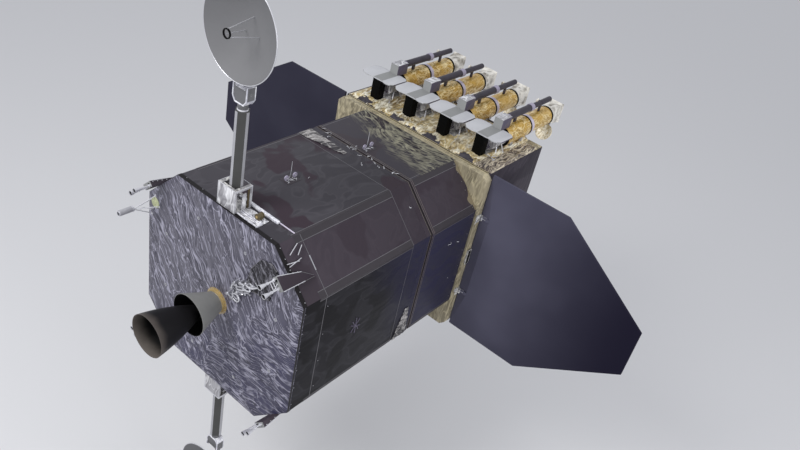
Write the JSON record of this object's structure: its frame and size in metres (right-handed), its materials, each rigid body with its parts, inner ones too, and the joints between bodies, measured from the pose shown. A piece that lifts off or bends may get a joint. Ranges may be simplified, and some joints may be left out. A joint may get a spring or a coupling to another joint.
{
  "type": "solar observatory satellite",
  "caption": "Solar observatory satellite with folding arrays, telescopes and two steerable dish antennas on booms",
  "frame": {"origin": "centre of the aft face of the bus, on its long axis", "axes": "+X to the sun along the bus, +Y to the far solar array, +Z to the side with the telescopes"},
  "size_m": [5.275, 6.25, 6.17],
  "materials": {
    "foil_aft": "crinkled blanket, satin",
    "foil_dark": "dark crinkled blanket, gloss",
    "foil_tan": "tan crinkled blanket",
    "foil_module": "silver crinkled blanket",
    "foil_white": "white crinkled blanket",
    "foil_cream": "gold cream crinkled blanket",
    "foil_gold": "gold film, gloss",
    "foil_silver": "silver crinkled film",
    "band_black": "matt black",
    "metal_silver": "machined",
    "metal_gold": "satin",
    "shield_grey": "matt",
    "bell_metal": "heat stained",
    "mast_grey": "matt",
    "dish_grey": "matt",
    "scope_grey": "dark film, gloss",
    "box_black": "matt black",
    "radiator_white": "white thermal coating",
    "array_back": "dark composite"
  },
  "bodies": {
    "bus": {"aft_deck": "foil_aft", "bus_rear": "foil_dark", "bus_band": "band_black", "bus_front": "foil_dark", "deck_slab": "foil_tan", "instrument_module": "foil_module", "front_apertures": "metal_silver", "array_hinges": "metal_silver", "engine_ring": "metal_gold", "engine_shield": "shield_grey", "engine_bell": "bell_metal", "engine_extension": "bell_metal", "thruster_pods": "foil_dark", "thrusters": "bell_metal", "boom_sensor": "foil_white", "service_panel": "metal_silver", "boom_restraints": "metal_silver", "base_rails": "foil_white", "antenna_base_top": "foil_white", "antenna_base_bottom": "foil_white", "telescope_tube_1": "foil_gold", "telescope_tube_2": "foil_gold", "telescope_tube_3": "foil_gold", "telescope_tube_4": "foil_gold", "telescope_hood_1": "foil_silver", "telescope_hood_2": "foil_silver", "telescope_hood_3": "foil_silver", "telescope_hood_4": "foil_silver", "radiator_1": "radiator_white", "radiator_2": "radiator_white", "radiator_3": "radiator_white", "radiator_4": "radiator_white", "guide_scopes": "scope_grey", "electronics_boxes": "box_black", "telescope_saddles": "foil_cream"},
    "array_left": {"array_left": "array_back"},
    "array_right": {"array_right": "array_back"},
    "boom_top": {"mast_top": "mast_grey"},
    "azimuth_top": {"gimbal_top": "foil_white"},
    "elevation_top": {"dish_top": "dish_grey", "feed_top": "band_black"},
    "boom_bottom": {"mast_bottom": "mast_grey"},
    "azimuth_bottom": {"gimbal_bottom": "foil_white"},
    "elevation_bottom": {"dish_bottom": "dish_grey", "feed_bottom": "band_black"},
    "door_1": {"telescope_door_1": "foil_cream"},
    "door_2": {"telescope_door_2": "foil_cream"},
    "door_3": {"telescope_door_3": "foil_cream"},
    "door_4": {"telescope_door_4": "foil_cream"}
  },
  "joints": [
    {"name": "array_left_fold", "type": "hinge", "parent": "bus", "child": "array_left", "pos_m": [2.69, 1.098, 0], "axis": [0, 0, 1], "range_deg": [0, 90]},
    {"name": "array_right_fold", "type": "hinge", "parent": "bus", "child": "array_right", "pos_m": [2.69, -1.098, 0], "axis": [0, 0, -1], "range_deg": [0, 90]},
    {"name": "boom_top_fold", "type": "hinge", "parent": "bus", "child": "boom_top", "pos_m": [0.12, 0, 1.205], "axis": [0, 1, 0], "range_deg": [0, 90]},
    {"name": "azimuth_top_turn", "type": "hinge", "parent": "boom_top", "child": "azimuth_top", "pos_m": [0.12, 0, 1.986], "axis": [0, 0, 1], "range_deg": [-360, 0]},
    {"name": "elevation_top_tilt", "type": "hinge", "parent": "azimuth_top", "child": "elevation_top", "pos_m": [0.12, 0, 2.15], "axis": [0, -1, 0], "range_deg": [-60, 60]},
    {"name": "boom_bottom_fold", "type": "hinge", "parent": "bus", "child": "boom_bottom", "pos_m": [0.12, 0, -1.205], "axis": [0, -1, 0], "range_deg": [0, 90]},
    {"name": "azimuth_bottom_turn", "type": "hinge", "parent": "boom_bottom", "child": "azimuth_bottom", "pos_m": [0.12, 0, -1.986], "axis": [0, 0, -1], "range_deg": [-360, 0]},
    {"name": "elevation_bottom_tilt", "type": "hinge", "parent": "azimuth_bottom", "child": "elevation_bottom", "pos_m": [0.12, 0, -2.15], "axis": [0, 1, 0], "range_deg": [-60, 60]},
    {"name": "door_1_swing", "type": "hinge", "parent": "bus", "child": "door_1", "pos_m": [4.496, -0.75, 1.048], "axis": [0, -1, 0], "range_deg": [0, 215]},
    {"name": "door_2_swing", "type": "hinge", "parent": "bus", "child": "door_2", "pos_m": [4.496, -0.25, 1.048], "axis": [0, -1, 0], "range_deg": [0, 215]},
    {"name": "door_3_swing", "type": "hinge", "parent": "bus", "child": "door_3", "pos_m": [4.496, 0.25, 1.048], "axis": [0, -1, 0], "range_deg": [0, 215]},
    {"name": "door_4_swing", "type": "hinge", "parent": "bus", "child": "door_4", "pos_m": [4.496, 0.75, 1.048], "axis": [0, -1, 0], "range_deg": [0, 215]}
  ]
}
